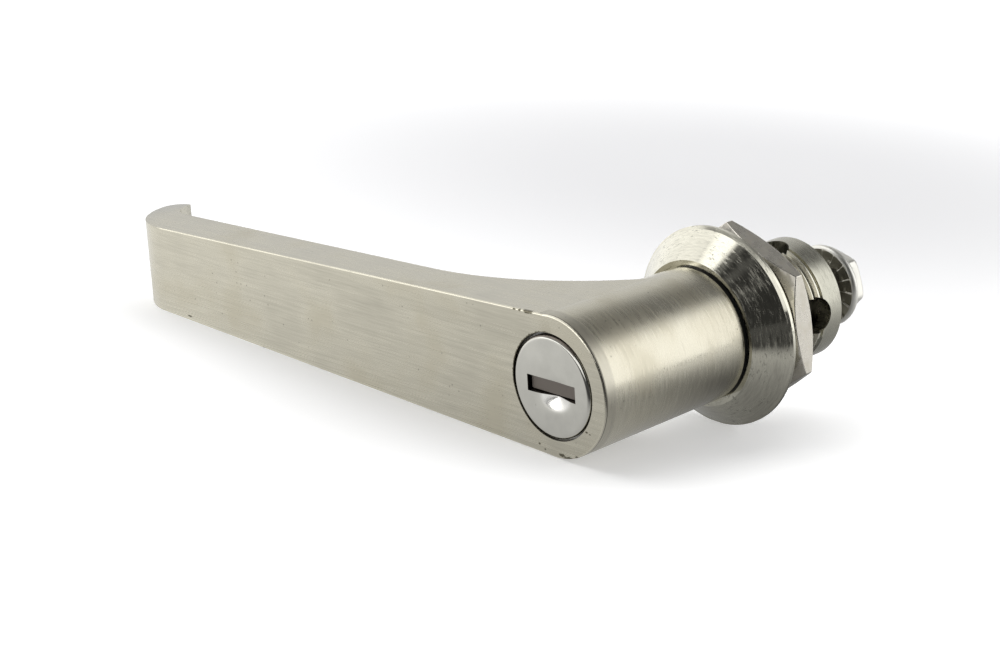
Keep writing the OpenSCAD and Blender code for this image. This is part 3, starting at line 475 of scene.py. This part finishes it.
def true_normals(piece, reach):
    """Shades a piece by its real form. Corners get area-weighted normals; where a face belongs to a
    surface turned about the Y axis within reach of it, a corner's normal is the face's own tilt
    (its radial and axial parts) carried to the corner's angle."""
    weigh = piece.modifiers.new("weighted", "WEIGHTED_NORMAL")
    weigh.keep_sharp = True
    weigh.weight = 90
    bake_modifiers(piece)
    mesh = piece.data
    count, corners = len(mesh.polygons), len(mesh.loops)
    normal = np.empty(count * 3)
    middle = np.empty(count * 3)
    total = np.empty(count, int)
    at = np.empty(corners, int)
    points = np.empty(len(mesh.vertices) * 3)
    shading = np.empty(corners * 3)
    mesh.polygons.foreach_get("normal", normal)
    mesh.polygons.foreach_get("center", middle)
    mesh.polygons.foreach_get("loop_total", total)
    mesh.loops.foreach_get("vertex_index", at)
    mesh.vertices.foreach_get("co", points)
    mesh.corner_normals.foreach_get("vector", shading)
    normal, middle, points = normal.reshape(-1, 3), middle.reshape(-1, 3), points.reshape(-1, 3)
    shading = shading.reshape(-1, 3)
    face_of = np.repeat(np.arange(count), total)
    corner = points[at]
    first = np.concatenate([[0], np.cumsum(total)[:-1]])
    far = np.maximum.reduceat(np.hypot(corner[:, 0], corner[:, 2]), first)
    angle = np.arctan2(middle[:, 2], middle[:, 0])
    outward = normal[:, 0] * np.cos(angle) + normal[:, 2] * np.sin(angle)
    sideways = normal[:, 2] * np.cos(angle) - normal[:, 0] * np.sin(angle)
    most_sideways = 0.1
    turned = (far < reach) & (np.abs(sideways) < most_sideways)
    size = np.hypot(outward, normal[:, 1]) + 1e-9
    outward, axial = outward / size, normal[:, 1] / size
    around = np.arctan2(corner[:, 2], corner[:, 0])
    carried = np.stack([outward[face_of] * np.cos(around), axial[face_of],
                        outward[face_of] * np.sin(around)], axis=-1)
    shading = np.where(turned[face_of][:, None], carried, shading)
    mesh.normals_split_custom_set(shading.tolist())


def finish_piece(piece, node_name, reach=0.0):
    """Lets a piece stand for a CAD node: it rides on the node's body and takes its finish."""
    piece.data.polygons.foreach_set("use_smooth", [True] * len(piece.data.polygons))
    piece.data.set_sharp_from_angle(angle=np.radians(32))
    true_normals(piece, reach)
    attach(piece, body_of[node_name])
    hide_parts(node_name)
    piece.data.materials.clear()
    piece.data.materials.append(FINISH[slot_of[node_name]])


def new_piece(name, points, faces):
    """A mesh object at the origin from arrays of points and faces."""
    mesh = bpy.data.meshes.new(name)
    mesh.from_pydata(np.asarray(points).tolist(), [], [list(map(int, face)) for face in faces])
    mesh.update()
    piece = bpy.data.objects.new(name, mesh)
    bpy.context.scene.collection.objects.link(piece)
    return piece


def merged_copy(name, node_name):
    """A copy of a CAD node's mesh with its loose triangles merged and its flat faces joined."""
    mesh = nodes[node_name].data.copy()
    shell = bmesh.new()
    shell.from_mesh(mesh)
    bmesh.ops.remove_doubles(shell, verts=shell.verts, dist=0.002 * MM)
    bmesh.ops.dissolve_limit(shell, angle_limit=np.radians(0.4), verts=shell.verts,
                             edges=shell.edges)
    shell.to_mesh(mesh)
    shell.free()
    mesh.name = name
    piece = bpy.data.objects.new(name, mesh)
    bpy.context.scene.collection.objects.link(piece)
    return piece


def edge_angles(mesh):
    """The angle between the two faces at each edge of a closed mesh, in radians."""
    total = np.empty(len(mesh.polygons), int)
    mesh.polygons.foreach_get("loop_total", total)
    normal = np.empty(len(mesh.polygons) * 3)
    mesh.polygons.foreach_get("normal", normal)
    edge_of = np.empty(len(mesh.loops), int)
    mesh.loops.foreach_get("edge_index", edge_of)
    face_of = np.repeat(np.arange(len(total)), total)[np.argsort(edge_of, kind="stable")]
    sides = normal.reshape(-1, 3)[face_of.reshape(-1, 2)]
    return np.arccos(np.clip((sides[:, 0] * sides[:, 1]).sum(axis=1), -1, 1))


# The lock bore's edges lie within this distance of the axis and stay sharp.
BORE_EDGE_R = 9.6 * MM


def ease_edges(piece, width, angle=35, plane=None):
    """Breaks the edges that turn by more than an angle in degrees by a small rounded bevel, marked
    by the attribute edge. With a plane, only the edges at that place along Y and outside the lock's
    bore are eased, each to the full width."""
    mesh = piece.data
    while len(mesh.materials) < 2:
        mesh.materials.append(None)
    bevel = piece.modifiers.new("eased_edges", "BEVEL")
    bevel.width = width
    bevel.segments = 2
    bevel.material = 1
    if plane is None:
        bevel.limit_method = "ANGLE"
        bevel.angle_limit = np.radians(angle)
    else:
        points = np.empty(len(mesh.vertices) * 3)
        mesh.vertices.foreach_get("co", points)
        ends = np.empty(len(mesh.edges) * 2, int)
        mesh.edges.foreach_get("vertices", ends)
        there = (np.abs(points[1::3] - plane) < 0.01 * MM)[ends.reshape(-1, 2)].all(axis=1)
        outside = np.hypot(points[0::3], points[2::3]) > BORE_EDGE_R
        there &= outside[ends.reshape(-1, 2)].all(axis=1)
        there &= edge_angles(mesh) > np.radians(angle)
        mesh.attributes.new("bevel_weight_edge", "FLOAT", "EDGE").data.foreach_set(
            "value", there.astype(np.float32))
        bevel.limit_method = "WEIGHT"
        bevel.use_clamp_overlap = False
    bake_modifiers(piece)
    mesh = piece.data
    eased = np.empty(len(mesh.polygons), np.int32)
    mesh.polygons.foreach_get("material_index", eased)
    # Eased faces are marked for lighter edges, partly wear and partly a painted highlight.
    eased_mark = mesh.attributes.get("edge") or mesh.attributes.new("edge", "FLOAT", "FACE")
    before = np.empty(len(eased), np.float32)
    eased_mark.data.foreach_get("value", before)
    eased_mark.data.foreach_set("value", np.maximum(before, eased == 1).astype(np.float32))
    mesh.polygons.foreach_set("material_index", np.zeros_like(eased))


def bake_modifiers(piece):
    """Puts the result of a piece's modifiers into its mesh."""
    graph = bpy.context.evaluated_depsgraph_get()
    mesh = bpy.data.meshes.new_from_object(piece.evaluated_get(graph))
    piece.modifiers.clear()
    piece.data = mesh


def grid_faces(rows, columns):
    """Quads between neighbouring points of a grid whose columns close round."""
    r, c = np.meshgrid(np.arange(rows - 1), np.arange(columns), indexing="ij")
    n = (c + 1) % columns
    this, after = r * columns, (r + 1) * columns
    return np.stack([this + c, this + n, after + n, after + c], axis=-1).reshape(-1, 4)


def ring_solid(name, r, angle, y, unit=1.0):
    """A closed solid from rings of points: radius and angle about the Y axis and place along it,
    as arrays by ring and point, with the first and the last ring filled."""
    r, angle, y = np.broadcast_arrays(r, angle, y)
    rings, around = r.shape
    points = np.stack([r * np.cos(angle), y, r * np.sin(angle)], axis=-1).reshape(-1, 3) * unit
    faces = grid_faces(rings, around).tolist()
    faces += [list(range(around))[::-1], [len(points) - around + k for k in range(around)]]
    piece = new_piece(name, points, faces)
    outward_faces(piece)
    return piece


def thread_groove(name, radius, pitch, depth, y0, y1):
    """A solid thread groove to cut with: a flat-bottomed V section, about seven eighths of a pitch
    wide at the crest and an eighth at the root, carried along a helix from y0 to y1."""
    per_turn, outside = 72, 0.12 * MM
    count = int((y1 - y0) / pitch * per_turn)
    turn = np.linspace(0, (y1 - y0) / pitch, count)
    wide = pitch * 0.44 + outside * np.tan(np.pi / 6)
    narrow = pitch / 16
    section = np.array([[radius + outside, -wide], [radius + outside, wide],
                        [radius - depth, narrow], [radius - depth, -narrow]])
    return ring_solid(name, section[:, 0], (2 * np.pi * turn)[:, None],
                      (y0 + pitch * turn)[:, None] + section[:, 1])


def box(name, low, high):
    """A closed box between two corners given in millimetres."""
    across, along, up = zip(low, high)
    corners = np.array([(x, y, z) for x in across for y in along for z in up]) * MM
    piece = new_piece(name, corners, [(0, 1, 3, 2), (4, 6, 7, 5), (0, 4, 5, 1), (2, 3, 7, 6),
                                      (0, 2, 6, 4), (1, 5, 7, 3)])
    outward_faces(piece)
    return piece


def outward_faces(piece):
    """Turns a closed piece's faces outwards."""
    shell = bmesh.new()
    shell.from_mesh(piece.data)
    bmesh.ops.recalc_face_normals(shell, faces=shell.faces)
    shell.to_mesh(piece.data)
    shell.free()


def combine(piece, other, operation):
    """Cuts another solid out of a piece or joins it on, and removes the other."""
    step = piece.modifiers.new("solid", "BOOLEAN")
    step.operation = operation
    step.solver = "EXACT"
    step.object = other
    bake_modifiers(piece)
    bpy.data.objects.remove(other)


THREAD_PITCH = 1.5 * MM
THREAD_DEPTH = 0.85 * MM
TUBE_R = 11.0 * MM

housing = merged_copy("threaded_housing", "housing")
combine(housing, thread_groove("groove", TUBE_R, THREAD_PITCH, THREAD_DEPTH, 1.9 * MM, 15.3 * MM),
        "DIFFERENCE")
finish_piece(housing, "housing", reach=18.5 * MM)

handle = merged_copy("brushed_handle", "handle")
ease_edges(handle, 0.28 * MM, plane=FACE_Y)
finish_piece(handle, "handle", reach=12.7 * MM)

nut = merged_copy("panel_nut", "hex_nut")
ease_edges(nut, 0.14 * MM, angle=20)
finish_piece(nut, "hex_nut")

# The pin's spring rides on its node's body, with a mesh of its own.
pin_spring = merged_copy("pressed_spring", "locking_pin_spring")
finish_piece(pin_spring, "locking_pin_spring")
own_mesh(pin_spring)


def polished_cap():
    """The lock's cap as a closed polar grid in millimetres. The front stands a little proud of the
    face, rolls over at the rim by a quarter circle and dips below the keyway as a soft cone: slope
    times softness times the logarithm of one plus the exponential of reach less distance, over
    softness. Then the back closes it, and the key slot is cut through."""
    outer, rim, front, back = 9.0, 0.8, -40.55, -39.05
    flat_rings, dipped_rings = 56, 60
    slope, softness, reach, blunt = 0.40, 0.3, 2.9, 0.3
    angle = np.linspace(0, 2 * np.pi, 192, endpoint=False)
    flat = np.linspace(0.02, outer - rim, flat_rings)
    roll = np.radians(np.linspace(9, 90, 9))
    radius = np.concatenate([flat, outer - rim + rim * np.sin(roll), [outer, outer - 0.1, 0.02]])
    depth = np.concatenate([np.full(flat_rings, front), front + rim - rim * np.cos(roll),
                            [back - 0.1, back, back]])
    radius, depth = radius[:, None], depth[:, None]
    x, z = radius * np.cos(angle), radius * np.sin(angle)
    away = np.sqrt(((x - 0.7) / 1.45) ** 2 + (z + 1.5) ** 2 + blunt ** 2)
    soft = slope * softness * np.log1p(np.exp((reach - away) / softness))
    dip = np.where((np.arange(len(radius))[:, None] < dipped_rings) & (away < 5), soft, 0)
    piece = ring_solid("polished_cap", radius, angle, np.minimum(depth + dip, back), MM)
    combine(piece, box("slot_cutter", (-5.65, -42, -1.65), (5.65, -38, 1.25)), "DIFFERENCE")
    return piece


finish_piece(polished_cap(), "lock_cap")


def stamped_shutter():
    """The dust shutter: the CAD plate joined with the raised pad that stands in the key slot, a box
    with rounded edges."""
    plate = merged_copy("stamped_shutter", "shutter")
    combine(plate, box("pad", (-5.28, -39.86, -1.3), (5.28, -38.6, 1.18)), "UNION")
    ease_edges(plate, 0.06 * MM)
    return plate


finish_piece(stamped_shutter(), "shutter")


def hexagon_radius(angle, across_flats):
    """Distance from the centre to a hexagon's side: half the width across flats over the cosine of
    the angle from the nearest side's middle."""
    return across_flats / 2 / np.cos((angle + np.pi / 6) % (np.pi / 3) - np.pi / 6)


def flange_screw():
    """The cam screw as one closed grid of rings: the dished top, the hexagon with hollow sides and
    its rounded corners, the flange with its round rim, the teeth below and the shank. Each ring has
    a radius and a place along Y for every angle. The head's radius is a soft minimum of the hexagon
    and of a turned profile, and the teeth are a sawtooth that fades out towards the seat."""
    seat, flats, teeth, rim = 27.5, 12.0, FLANGE_TEETH, 0.95
    top, corner, rounding = seat + 4.6, 6.7, 1.3
    angle = np.linspace(0, 2 * np.pi, teeth * 24, endpoint=False)
    hexagon = hexagon_radius(angle - np.radians(15), flats)
    hexagon = hexagon - 0.35 * np.clip((corner - hexagon) / 0.7, 0, 1) ** 0.7
    saw = (angle / (2 * np.pi) * teeth) % 1.0
    saw = np.where(saw < 0.92, saw / 0.92, (1 - saw) / 0.08)
    ring = np.ones_like(angle)

    def head(turned):
        return 1.025 * (hexagon ** -16.0 + turned ** -16.0) ** (-1 / 16.0)

    rows = [(0.02 * ring, (top - 0.25) * ring), (3.2 * ring, (top - 0.25) * ring),
            (3.7 * ring, top * ring), (4.4 * ring, top * ring)]
    for t in np.radians([88, 70, 52, 36, 20, 8, 0]):
        rows.append((head((corner - rounding + rounding * np.cos(t)) * ring),
                     (top - rounding + rounding * np.sin(t)) * ring))
    rows += [(head(corner * ring), (seat + 2.6) * ring), (head(corner * ring), (seat + 2.3) * ring),
             (np.maximum(head(corner * ring), 6.0), (seat + 2.15) * ring),
             (np.maximum(head(corner * ring), 6.3), (seat + 1.98) * ring)]
    for t in np.radians([78, 60, 42, 25, 8, -10, -28, -46, -62]):
        rows.append(((6.55 + rim * np.cos(t)) * ring, (seat + rim + rim * np.sin(t)) * ring))
    for r, depth in ((6.75, 0.30), (6.5, 0.33), (6.0, 0.33), (5.5, 0.30)):
        rows.append((r * ring, seat + depth * (1 - saw)))
    for r, below in ((5.2, 0), (2.7, 0), (2.46, 0.2), (2.46, 11.6), (2.1, 12), (0.02, 12)):
        rows.append((r * ring, (seat - below) * ring))
    r = np.array([row[0] for row in rows])
    y = np.array([np.broadcast_to(row[1], angle.shape) for row in rows])
    return ring_solid("toothed_flange_screw", r, angle, y, MM)


finish_piece(flange_screw(), "cam_screw")


# Camera, floor and light

def make_camera():
    """The photograph's view: a 100 mm lens on a 36 mm sensor, from the fitted place and axes."""
    data = bpy.data.cameras.new("camera")
    data.lens = 100
    data.sensor_width = 36
    data.clip_end = 10
    camera = bpy.data.objects.new("camera", data)
    bpy.context.scene.collection.objects.link(camera)
    right = Vector((0.6809, 0.7301, -0.0570)).normalized()
    ahead = Vector((-0.7057, 0.6334, -0.3176)).normalized()
    up = right.cross(ahead).normalized()
    right = ahead.cross(up)
    turn = Matrix((right, up, -ahead)).transposed().to_4x4()
    camera.matrix_world = Matrix.Translation(Vector((316.19, -334.90, 154.60)) * MM) @ turn
    bpy.context.scene.camera = camera


make_camera()


def rest_plane():
    """The plane the latch lies on. Its normal leans along Y and is turned about Y until the
    rosette's rim, the barrel's front edge and the grip's lower corner are equally low; gives the
    normal and the plane's height along it."""
    lean = (ROSETTE_R - HUB_R) / -FACE_Y
    tip_inset, tip_drop = 2.5 * MM, 8.1 * MM
    tip = Vector((-GRIP_LEN + tip_inset, FACE_Y, -tip_drop))
    side = (-np.pi - np.arcsin((-ROSETTE_R - tip.y * lean) / np.hypot(tip.x, tip.z))
            - np.arctan2(tip.z, tip.x))
    upward = Vector((np.sin(side), lean, np.cos(side)))
    return upward.normalized(), -ROSETTE_R / upward.length


normal, low = rest_plane()


def distance_from(tree, x, y, mid_x, mid_y):
    """Distance in the floor from a middle point, in metres."""
    a, b = minus(tree, x, mid_x), minus(tree, y, mid_y)
    return maths(tree, "SQRT", squares(tree, a, b))


# The floor's colours: pale, greyer behind the latch as painted shade, and nearly black in
# reflections, where a painted glow takes its place.
FLOOR_PALE = (0.86, 0.86, 0.86, 1)
FLOOR_SHADE_GREY = (0.74, 0.74, 0.75, 1)
FLOOR_MIRRORED = (0.03, 0.03, 0.03, 1)
FLOOR_GLOW = 0.58
CONTACT_SHADE, LEFT_SHADE, BEHIND_SHADE = 0.17, 0.15, 0.56


def make_floor():
    """A wide flat square under the latch in the resting plane. Reflections see a painted glow over
    a
    nearly black diffuse colour: painted shade keeps it dim near the latch and in front of it, and
    it brightens away. The camera sees its diffuse shade and an even glow, dimmed by painted shadow
    along the latch, at the front left and in a broad patch behind, where the colour is greyer as
    painted shade."""
    size = 6.0
    turn = normal.to_track_quat("Z", "Y").to_matrix()
    across, along = turn @ Vector((1, 0, 0)), turn @ Vector((0, 1, 0))
    corners = np.array([[-1, -1], [1, -1], [1, 1], [-1, 1]]) * size
    points = [tuple(across * a + along * b + normal * low) for a, b in corners]
    mesh = bpy.data.meshes.new("floor")
    mesh.from_pydata(points, [], [(0, 1, 2, 3)])
    floor = bpy.data.objects.new("floor", mesh)
    bpy.context.scene.collection.objects.link(floor)
    material, tree, out = new_tree("pale_floor")
    path = tree.nodes.new("ShaderNodeLightPath")
    glossy = path.outputs["Is Glossy Ray"]
    matt = tree.nodes.new("ShaderNodeBsdfDiffuse")
    axes = tree.nodes.new("ShaderNodeSeparateXYZ")
    link(tree, tree.nodes.new("ShaderNodeTexCoord").outputs["Object"], axes.inputs[0])
    x, y = axes.outputs[0], axes.outputs[1]
    # Painted light and shade for reflections: dim near the latch and in front of it, bright away.
    away = distance_from(tree, x, y, 0.012, 0.008)
    fade = maths(tree, "EXPONENT", times(tree, away, -11.0))
    rise = minus(tree, 1.10, times(tree, fade, 1.03))
    front = minus(tree, times(tree, x, 0.74), times(tree, y, 0.67))
    edge = smooth_step(tree, front, 64 * MM, 38 * MM, 0.05, 1.0)
    painted_reflection = times(tree, rise, edge)
    # Painted shadow for the camera along the latch, at the front left and in a patch behind.
    beside = maths(tree, "MINIMUM", maths(tree, "MAXIMUM", x, -GRIP_LEN), 10 * MM)
    contact_shadow = smooth_step(tree, distance_from(tree, x, y, beside, FACE_Y), 0.075, 0.0,
                          0.0, CONTACT_SHADE)
    front_left_shadow = smooth_step(tree, distance_from(tree, x, y, -0.03, -0.065), 0.08, 0.0,
                             0.0, LEFT_SHADE)
    behind = smooth_step(tree, distance_from(tree, x, y, -0.15, 0.17), 0.29, 0.03)
    shade = plus(tree, plus(tree, contact_shadow, front_left_shadow), times(tree, behind, BEHIND_SHADE))
    seen = minus(tree, FLOOR_GLOW, shade)
    pale = blend_colour(tree, behind, FLOOR_PALE, FLOOR_SHADE_GREY)
    link(tree, blend_colour(tree, glossy, pale, FLOOR_MIRRORED), matt.inputs["Color"])
    to_camera = times(tree, path.outputs["Is Camera Ray"], seen)
    strength = plus(tree, to_camera, times(tree, glossy, painted_reflection))
    glow = add(tree, "ShaderNodeEmission", Color=(1, 1, 1, 1))
    link(tree, strength, glow.inputs["Strength"])
    both = tree.nodes.new("ShaderNodeAddShader")
    link(tree, matt.outputs[0], both.inputs[0])
    link(tree, glow.outputs[0], both.inputs[1])
    link(tree, both.outputs[0], out.inputs["Surface"])
    mesh.materials.append(material)


make_floor()


def soft_light(name, spot, aim, size, power):
    """A softbox at a spot, turned to its aim and hidden from reflections, where the metal shows
    the world's pale panels instead."""
    data = bpy.data.lights.new(name, "AREA")
    data.shape = "RECTANGLE"
    data.size, data.size_y = size
    data.energy = power
    light = bpy.data.objects.new(name, data)
    light.visible_glossy = False
    bpy.context.scene.collection.objects.link(light)
    spot = Vector(spot)
    turn = (Vector(aim) - spot).to_track_quat("-Z", "Y").to_matrix().to_4x4()
    light.matrix_world = Matrix.Translation(spot) @ turn


LATCH_MIDDLE = (-0.02, -0.01, 0)
soft_light("back_softbox", (-0.30, 0.50, 0.70), LATCH_MIDDLE, (1.0, 0.9), 4.4)
soft_light("left_softbox", (-0.62, -0.25, 0.75), LATCH_MIDDLE, (0.95, 0.8), 2.0)

# Pale panels of the sky: azimuth of the middle, half width, lower and upper height in degrees,
# level, and the softness of the edges in degrees. The dim one stands behind the others.

DIM_PANEL = (140, 122, -100, 100, 0.12)
PANELS = [
    (-160, 45, 48, 100, 1.7), (-182, 32, -12, 60, 1.2, 10.0), (155, 50, -14, 40, 0.72, 12.0),
    (-124, 28, -8, 19, 2.0, 6.0), (-82, 24, -4, 36, 1.2, 6.0), (-115, 40, 25, 52, 0.42),
    (50, 28, -20, 40, 1.5), (80, 40, 30, 50, 0.24),
]
SKY_BASE = 0.035


def panel(tree, axes, middle, half_width, low, high, level, soft=8.0):
    """A pale panel of the sky: level where the direction lies within half_width degrees of the
    azimuth and between the two heights in degrees, with soft edges."""
    turn = np.radians(middle)
    ahead = plus(tree, times(tree, axes[0], float(np.cos(turn))),
                 times(tree, axes[1], float(np.sin(turn))))
    aside = minus(tree, times(tree, axes[1], float(np.cos(turn))),
                  times(tree, axes[0], float(np.sin(turn))))
    angle = maths(tree, "ABSOLUTE", maths(tree, "ARCTAN2", aside, ahead))
    across = smooth_step(tree, angle, np.radians(half_width + soft), np.radians(half_width - soft))
    height = maths(tree, "ARCSINE", axes[2])
    above = smooth_step(tree, height, np.radians(low - soft), np.radians(low + soft))
    below = smooth_step(tree, height, np.radians(high + soft), np.radians(high - soft))
    return times(tree, times(tree, above, below), times(tree, across, level))


def make_world():
    """A dim sky with pale panels round the latch, and plain white for the camera."""
    world = bpy.data.worlds.new("studio")
    bpy.context.scene.world = world
    world.use_nodes = True
    tree = world.node_tree
    tree.nodes.clear()
    out = tree.nodes.new("ShaderNodeOutputWorld")
    split = tree.nodes.new("ShaderNodeSeparateXYZ")
    link(tree, tree.nodes.new("ShaderNodeTexCoord").outputs["Generated"], split.inputs[0])
    axes = [split.outputs[k] for k in range(3)]
    level = panel(tree, axes, *DIM_PANEL)
    for panel_values in PANELS:
        level = maths(tree, "MAXIMUM", level, panel(tree, axes, *panel_values))
    sky = add(tree, "ShaderNodeBackground", Strength=1.0)
    link(tree, plus(tree, level, SKY_BASE), sky.inputs["Color"])
    white = add(tree, "ShaderNodeBackground", Color=(1, 1, 1, 1), Strength=1.0)
    path = tree.nodes.new("ShaderNodeLightPath")
    mixed = tree.nodes.new("ShaderNodeMixShader")
    link(tree, path.outputs["Is Camera Ray"], mixed.inputs[0])
    link(tree, sky.outputs[0], mixed.inputs[1])
    link(tree, white.outputs[0], mixed.inputs[2])
    link(tree, mixed.outputs[0], out.inputs["Surface"])


make_world()

bpy.context.scene.view_settings.view_transform = "Standard"
